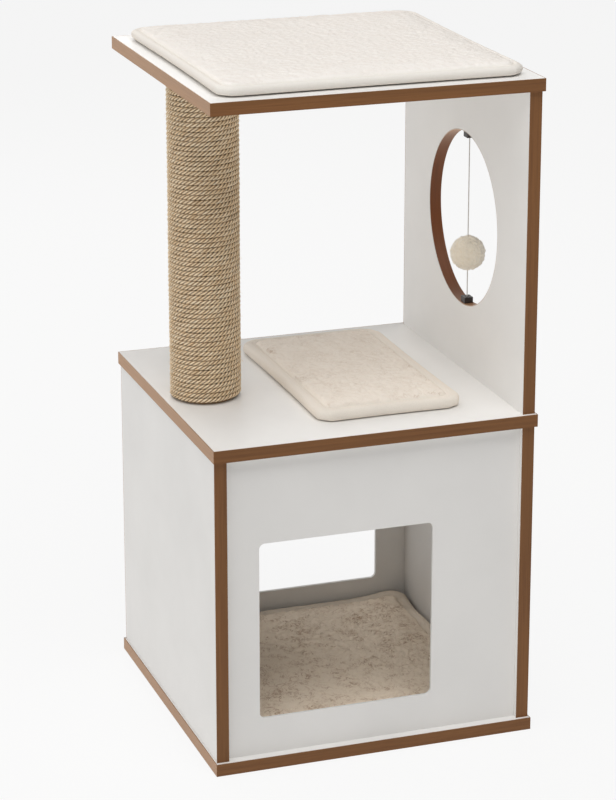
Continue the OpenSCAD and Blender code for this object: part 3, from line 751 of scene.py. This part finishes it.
class CONDO_OT_cushions(bpy.types.Operator):
    """Fill, sew and tuft the three cushions."""

    bl_idname = "condo.cushions"
    bl_label = "Cushions"

    def execute(self, context):
        settings = context.scene.condo_cushions
        look = plush_finish(settings)
        for seed, name in enumerate(PILE):
            obj = self.cushion(context, settings, name, seed)
            obj.data.materials.append(look)
            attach(obj, name + "_pad")
            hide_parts(name + "_cushion")
        return {"FINISHED"}

    def cushion(self, context, settings, name, seed):
        """One cushion in the space of its CAD solid."""
        low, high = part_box(name + "_cushion")
        fuller = PILE[name][-1]
        obj = self.filled(context, settings, name, low, high)
        self.settle(settings, obj, low, high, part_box(CARRIERS[name])[1].z, fuller)
        high.y += fuller
        middle = (low + high) / 2
        half = half_of(low, high)
        self.sew(settings, obj, middle, half, low, high, PILE[name][0])
        if name == "cave":
            self.press_to_walls(obj, low, high)
        self.tuft(settings, obj, middle, half, name, seed)
        return obj

    def settle(self, settings, obj, low, high, board, fuller):
        """Fit the filled shape to its place, draw its sides in and let its edge down on the board."""
        places = points_of(obj)
        first = places.min(0)
        share = (places - first) / (places.max(0) - first)
        share[:, 2] **= 1.2
        size = np.array(high - low) - np.array([0, 0, settings.pile * 0.62])
        places = np.array(low) + share * size
        middle = (low + high) / 2
        half = np.array(half_of(low, high))
        inside = inside_of(places, middle, half, settings.corner)
        places[:, 2] -= np.clip(1 - inside / 0.02, 0, 1) * (1 - share[:, 2]) * (low.z - board - 0.0003)
        side = (places[:, :2] - np.array(middle)[:2]) / half
        places[:, 0] -= settings.draw * side[:, 0] ** 3 * (1 - side[:, 1] ** 2)
        places[:, 1] -= settings.draw * side[:, 1] ** 3 * (1 - side[:, 0] ** 2)
        places[:, 1] += fuller * np.clip(side[:, 1], 0, 1)
        move_points(obj, places)

    def filled(self, context, settings, name, low, high):
        """A rounded block, blown up by its filling."""
        only_none()
        size = high - low
        bpy.ops.mesh.primitive_cube_add(size=1, location=(low + high) / 2)
        obj = context.object
        obj.name = name + "_plush_cushion"
        obj.data.name = obj.name
        obj.scale = (size.x - 0.006, size.y - 0.006, size.z * 0.86)
        bpy.ops.object.transform_apply(location=True, rotation=False, scale=True)
        self.round_corners(obj, settings.corner)
        remesh = obj.modifiers.new("Cells", "REMESH")
        remesh.mode = "VOXEL"
        remesh.voxel_size = settings.voxel
        bpy.ops.object.modifier_apply(modifier=remesh.name)
        obj.modifiers.new("Even", "SMOOTH").iterations = 4
        bpy.ops.object.modifier_apply(modifier="Even")
        self.blow_up(context, settings, obj, low, high, PILE[name][0])
        return obj

    def round_corners(self, obj, radius):
        """Round the four upright edges."""
        go_to("EDIT")
        bpy.ops.mesh.select_all(action="DESELECT")
        go_to("OBJECT")
        bpy.context.tool_settings.mesh_select_mode = (False, True, False)
        points = obj.data.vertices
        for edge in obj.data.edges:
            one, two = (points[index].co for index in edge.vertices)
            edge.select = abs(one.z - two.z) > 0.002
        go_to("EDIT")
        bpy.ops.mesh.bevel(offset=radius, segments=8)
        go_to("OBJECT")

    def blow_up(self, context, settings, obj, low, high, border):
        """Cloth under pressure, held along its seam and underside."""
        rest = points_of(obj)
        middle = (low + high) / 2
        half = np.array(half_of(low, high)) - 0.003
        inside = inside_of(rest, middle, half, settings.corner)
        held = obj.vertex_groups.new(name="held")
        upper = rest[:, 2] > middle.z
        sewn = np.abs(inside - border) < settings.voxel * 0.6
        grip = np.where(upper & sewn, 0.9, np.where(upper, 0.0, 0.55))
        for index, weight in enumerate(grip):
            held.add([index], float(weight), "REPLACE")
        cloth = obj.modifiers.new("Filling", "CLOTH")
        fabric = cloth.settings
        fabric.quality = 5
        fabric.mass = 0.25
        fabric.bending_stiffness = 1.2
        fabric.use_pressure = True
        fabric.uniform_pressure_force = settings.pressure
        fabric.effector_weights.gravity = 0
        fabric.vertex_group_mass = held.name
        cloth.collision_settings.use_collision = False
        for step in range(1, CLOTH_FRAMES + 1):
            context.scene.frame_set(step)
        only(obj)
        bpy.ops.object.modifier_apply(modifier=cloth.name)
        context.scene.frame_set(1)
        obj.vertex_groups.clear()
        move = points_of(obj) - rest
        far = np.linalg.norm(move, axis=1, keepdims=True)
        move_points(obj, rest + move * np.minimum(1, 0.003 / np.maximum(far, 1e-9)))

    def sew(self, settings, obj, middle, half, low, high, border):
        """Draw in the seam, roll the border and give the plush a finer mesh."""
        only(obj)
        obj.modifiers.new("Fine", "SUBSURF").levels = 1
        bpy.ops.object.modifier_apply(modifier="Fine")
        places = points_of(obj)
        inside = inside_of(places, middle, half, settings.corner)
        upper = np.clip((places[:, 2] - low.z) / (high.z - low.z) * 2 - 0.7, 0, 1)
        seam = np.exp(-(((inside - border) / 0.0022) ** 2))
        roll = np.sin(np.clip(inside / border, 0, 1) * math.pi)
        plush = np.clip((inside - border) / 0.012, 0, 1)
        ripple = 0.0003 * wander(places[:, 0] + places[:, 1] * 0.7, 0.031, 2)
        places[:, 2] += upper * (0.0006 * roll - settings.seam * seam + ripple * (1 - plush))
        move_points(obj, places)
        go_to("EDIT")
        bpy.context.tool_settings.mesh_select_mode = (False, False, True)
        bpy.ops.mesh.select_all(action="DESELECT")
        go_to("OBJECT")
        for face in obj.data.polygons:
            face.select = face.normal.z > 0.15
        go_to("EDIT")
        bpy.ops.mesh.subdivide(number_cuts=1, smoothness=0)
        go_to("OBJECT")
        obj.data.shade_smooth()

    def press_to_walls(self, obj, low, high):
        """Turn the cave cushion's edges up where the walls press them, most at the back and its corner."""
        places = points_of(obj)
        thick = np.clip((places[:, 2] - low.z) / (high.z - low.z), 0, 1)
        right = high.x - places[:, 0]
        back = high.y - places[:, 1]
        corner = np.exp(-((np.hypot(right, back) / 0.05) ** 2))
        behind = np.exp(-((back / 0.022) ** 2))
        beside = np.exp(-((right / 0.022) ** 2))
        wave = np.sin((back - 0.075) * 2 * math.pi / 0.12) * np.clip(back / 0.05, 0, 1)
        ripple = wander(places[:, 0], 0.13, 4)
        lift = 0.006 * corner + behind * (0.0062 + 0.0008 * ripple) + beside * (0.001 + 0.0026 * wave)
        places[:, 2] += thick * lift
        move_points(obj, places)

    def tuft(self, settings, obj, middle, half, name, seed):
        """Raise the plush inside the border."""
        places = points_of(obj)
        normals = points_of(obj, "normal")
        inside = inside_of(places, middle, half, settings.corner)
        border, share, edge, tall, warm, _ = PILE[name]
        field = np.clip((inside - border) / 0.003, 0, 1)
        field *= np.clip((normals[:, 2] - 0.1) / 0.3, 0, 1)
        heights = np.zeros(len(places))
        where = np.nonzero(field > 0)[0]
        heights[where] = heights_of(places[where], settings.tuft, seed, plush_height)
        push = normals[where] + 0.45 * leans_of(places[where], settings.tuft)
        places[where] += push * (heights[where] * field[where] * settings.pile * tall)[:, None]
        move_points(obj, places)
        # rim puts parted pile just inside the border, in groups; its dark specks are painted shadow under
        # the pile's edge.
        rim = np.exp(-(((inside - border - 0.004) / 0.006) ** 2))
        rim *= np.clip(wander(places[:, 0] * 0.9 + places[:, 1], 0.11, seed) * 2, 0, 1)
        add_values(obj, "parted", np.clip(share + edge * rim, 0, 1))
        # warm carries the cushion's share of painted shade tint.
        add_values(obj, "warm", np.full(len(places), warm))
        add_values(obj, "field", field)
        add_values(obj, "tip", np.where(field > 0, heights, 0.6))


def wool_finish(colour):
    """Curly wool of the ball, with painted shade between the curls."""
    look = Finish("wool", roughness=0.92, Sheen_Weight=0.7, Sheen_Roughness=0.45)
    tip = look.value_of("tip")
    # deep is painted shade: the wool darkened where the curls sink, by the curls' height (tip).
    deep = (colour[0] * 0.95, colour[1] * 0.91, colour[2] * 0.83)
    curls = look.noise(900, 3, None, 0.65)
    base = look.blend(look.span(tip, 0.05, 0.45), deep, colour)
    look.colour(look.blend(look.span(curls, 0.36, 0.52, 0.15, 0), base, times(colour, 0.8)))
    look.relief(curls, 0.0008, 0.8)
    return look.material


def twisted(name, path, side, run, thickness, look, seed):
    """A thin twisted cord along a path."""
    section, laid = stranded(run, thickness, CORD_LAY, seed, CORD_GROOVE)
    obj = sweep(name, path, side, section, laid)
    obj.data.materials.append(look)
    return obj


def straight_cord(name, low, high, settings, look, seed):
    """A twisted cord hung between two points."""
    run = np.arange(0, high.z - low.z, 0.0006)
    run = np.append(run, high.z - low.z)
    middle = (low + high) / 2
    path = np.stack([np.full_like(run, middle.x), np.full_like(run, middle.y), high.z - run], axis=1)
    side = np.tile([1.0, 0.0, 0.0], (len(run), 1))
    obj = twisted(name, path, side, run, settings.cord_thickness, look, seed)
    steps = np.linspace(high.z, low.z, 20)
    return obj, [(middle.x, middle.y, float(step)) for step in steps]


def tied_knot(name, middle, size, thickness, look):
    """A small overhand knot drawn tight, with its two ends tucked in."""
    part = np.linspace(0.03, 0.97, 90) * 2 * math.pi
    path = np.stack(
        [
            np.sin(part) + 2 * np.sin(2 * part),
            np.cos(part) - 2 * np.cos(2 * part),
            -1.35 * np.sin(3 * part),
        ],
        axis=1,
    )
    path = path * ((size - thickness) / 2 / 3.0) + np.array(middle)
    side = path - np.array(middle) + np.array([0, 0, 1e-4])
    run = np.linspace(0, size * 5, len(part))
    return twisted(name, path, side, run, thickness, look, 5)


class CONDO_OT_toy(bpy.types.Operator):
    """Make the wool ball, its cords, their knots and the anchors' finish."""

    bl_idname = "condo.toy"
    bl_label = "Hanging toy"

    def execute(self, context):
        settings = context.scene.condo_toy
        wear(plastic_finish("dark_plastic", settings.anchor), "toy_anchor_top", "toy_anchor_bottom")
        colour = settings.cord
        # Half the cord's colour is painted shade in its grooves, and the colour of its dark streaks.
        look = laid_finish(
            "cord", settings.cord_thickness, times(colour, 0.5), colour,
            tuple(min(1.0, part * 1.15) for part in colour), 0.004, 0.0002, 0.1,
        )
        self.cords(settings, look)
        self.knots(settings, look)
        self.ball(context, settings)
        return {"FINISHED"}

    def cords(self, settings, look):
        """The cord above the ball, and the one below it."""
        low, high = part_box("toy_cord_upper")
        upper, path = straight_cord("twisted_cord_upper", low, high, settings, look, 1)
        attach(upper, "toy")
        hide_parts("toy_cord_upper")
        low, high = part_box("toy_cord_lower")
        lower, path = straight_cord("twisted_cord_lower", low, high, settings, look, 2)
        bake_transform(lower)
        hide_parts("toy_cord_lower")

    def knots(self, settings, look):
        """The two knots in the anchors and the one that holds the ball up."""
        low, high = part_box("cord_end_knots")
        size = high.x - low.x
        middle = (low + high) / 2
        for name, height in (("top", high.z - size / 2), ("bottom", low.z + size / 2)):
            place = (middle.x, middle.y, height)
            knot = tied_knot("cord_knot_" + name, place, size, settings.cord_thickness, look)
            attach(knot, "toy_line")
            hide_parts("cord_end_knots")
        low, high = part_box("toy_stop_knot")
        stop = tied_knot(
            "cord_stop_knot", tuple((low + high) / 2), high.x - low.x, settings.cord_thickness, look
        )
        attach(stop, "toy")
        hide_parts("toy_stop_knot")

    def ball(self, context, settings):
        """A ball of curly wool."""
        low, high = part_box("toy_ball_cover")
        middle = (low + high) / 2
        radius = (high.z - low.z) / 2
        only_none()
        bpy.ops.mesh.primitive_ico_sphere_add(
            subdivisions=6, radius=radius - settings.curl_height * 0.9, location=middle
        )
        obj = context.object
        obj.name = "wool_ball"
        obj.data.name = obj.name
        bpy.ops.object.transform_apply(location=True, rotation=False, scale=False)
        places = points_of(obj)
        away = places - np.array(middle)
        away /= np.linalg.norm(away, axis=1, keepdims=True)
        heights = heights_of(places, settings.curl, 9, curl_height)
        push = away + 0.5 * leans_of(places, settings.curl)
        move_points(obj, places + push * (heights * settings.curl_height)[:, None])
        add_values(obj, "tip", heights)
        obj.data.shade_smooth()
        obj.data.materials.append(wool_finish(settings.wool))
        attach(obj, "toy")
        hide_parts("toy_ball_cover", "toy_ball_core")


class CONDO_OT_stage(bpy.types.Operator):
    """Set up the camera, the pale floor, the background and the soft lights."""

    bl_idname = "condo.stage"
    bl_label = "Stage"

    def execute(self, context):
        settings = context.scene.condo_stage
        context.scene.view_settings.view_transform = "Standard"
        self.camera(context, settings)
        self.lights(settings)
        self.floor(context, settings)
        self.background(context, settings)
        return {"FINISHED"}

    def camera(self, context, settings):
        """A long lens at the photo's angle."""
        data = bpy.data.cameras.new("Camera")
        data.lens = settings.lens
        data.sensor_width = 36
        data.shift_y = settings.shift
        data.clip_end = 100
        camera = new_object("Camera", data)
        camera.location = settings.camera_place
        camera.rotation_euler = (math.pi / 2 - settings.camera_rise, 0, settings.camera_turn)
        context.scene.camera = camera

    def lights(self, settings):
        """A large soft light overhead and one high behind."""
        aim = Vector((0, 0, 0.4))
        lamps = (
            ("Key", settings.key, 2.2, Vector((0.0, -1.15, 3.05))),
            ("Back", settings.back, 2.0, Vector((-0.2, 2.4, 2.0))),
        )
        for name, power, size, place in lamps:
            data = bpy.data.lights.new(name, "AREA")
            data.energy = power
            data.size = size
            lamp = new_object(name, data)
            lamp.location = place
            lamp.rotation_euler = (place - aim).to_track_quat("Z", "Y").to_euler()

    def seen(self, nodes):
        """1 for what the camera, a mirror or glass sees, 0 for light on the object."""
        path = nodes.node("LightPath").outputs
        total = path["Is Camera Ray"]
        for name in ("Is Glossy Ray", "Is Transmission Ray"):
            add = nodes.node("Math", {"operation": "ADD", "use_clamp": True}, In_0=total, In_1=path[name])
            total = add.outputs["Value"]
        return total

    def floor(self, context, settings):
        """Pale paper, lit from below, that keeps the object's shadow."""
        only_none()
        bpy.ops.mesh.primitive_plane_add(size=14)
        floor = context.object
        floor.name = "floor"
        look = Finish("paper", roughness=0.9)
        look.colour(settings.bounce)
        glow = look.node("Emission", Color=settings.paper, Strength=1.03)
        share = look.span(self.seen(look), 0, 1, 0.5, 0.9)
        mix = look.node(
            "MixShader", In_0=share, In_1=look.shader.outputs["BSDF"], In_2=glow.outputs["Emission"]
        )
        look.put(look.tree.nodes["Material Output"].inputs["Surface"], mix.outputs["Shader"])
        floor.data.materials.append(look.material)

    def sides(self, nodes, settings):
        """Strength of the light that the object gets from each direction: most from the left."""
        around = nodes.node("TexCoord").outputs["Generated"]
        across = nodes.node("SeparateXYZ", Vector=around).outputs["X"]
        return nodes.span(across, -1.0, settings.ambient_end, settings.ambient, 0.0)

    def background(self, context, settings):
        """A white world: even for the camera, brighter at the left for the object."""
        world = bpy.data.worlds.new("studio")
        context.scene.world = world
        world.use_nodes = True
        nodes = Nodes(world.node_tree)
        shade = nodes.tree.nodes["Background"].inputs
        nodes.put(shade["Color"], settings.paper)
        strength = nodes.span(self.seen(nodes), 0, 1, self.sides(nodes, settings), 1.0)
        nodes.put(shade["Strength"], strength)


OPERATORS = (
    CONDO_OT_stage, CONDO_OT_toy, CONDO_OT_boards, CONDO_OT_hardware, CONDO_OT_rope, CONDO_OT_cushions,
)
SETTINGS = {
    "condo_boards": CONDO_PG_boards,
    "condo_rope": CONDO_PG_rope,
    "condo_cushions": CONDO_PG_cushions,
    "condo_toy": CONDO_PG_toy,
    "condo_stage": CONDO_PG_stage,
}


class CONDO_PT_panel(bpy.types.Panel):
    """Lists the settings and the steps."""

    bl_idname = "CONDO_PT_panel"
    bl_label = "Cat condo"
    bl_space_type = "VIEW_3D"
    bl_region_type = "UI"
    bl_category = "Cat condo"

    def draw(self, context):
        for key, group in SETTINGS.items():
            box = self.layout.box()
            box.label(text=key.replace("_", " ").capitalize())
            for name in group.__annotations__:
                box.prop(getattr(context.scene, key), name)
        for operator in OPERATORS:
            self.layout.operator(operator.bl_idname)


CLASSES = (*SETTINGS.values(), *OPERATORS, CONDO_PT_panel)


def register():
    """Register the classes and put the settings on the scene."""
    for item in CLASSES:
        bpy.utils.register_class(item)
    for key, group in SETTINGS.items():
        setattr(bpy.types.Scene, key, PointerProperty(type=group))


def unregister():
    """Take the settings and the classes away again."""
    for key in SETTINGS:
        delattr(bpy.types.Scene, key)
    for item in reversed(CLASSES):
        bpy.utils.unregister_class(item)


def main():
    """Dress the condo."""
    register()
    bpy.ops.condo.stage()
    bpy.ops.condo.toy()
    bpy.ops.condo.boards()
    bpy.ops.condo.hardware()
    bpy.ops.condo.rope()
    bpy.ops.condo.cushions()


if __name__ == "__main__":
    main()
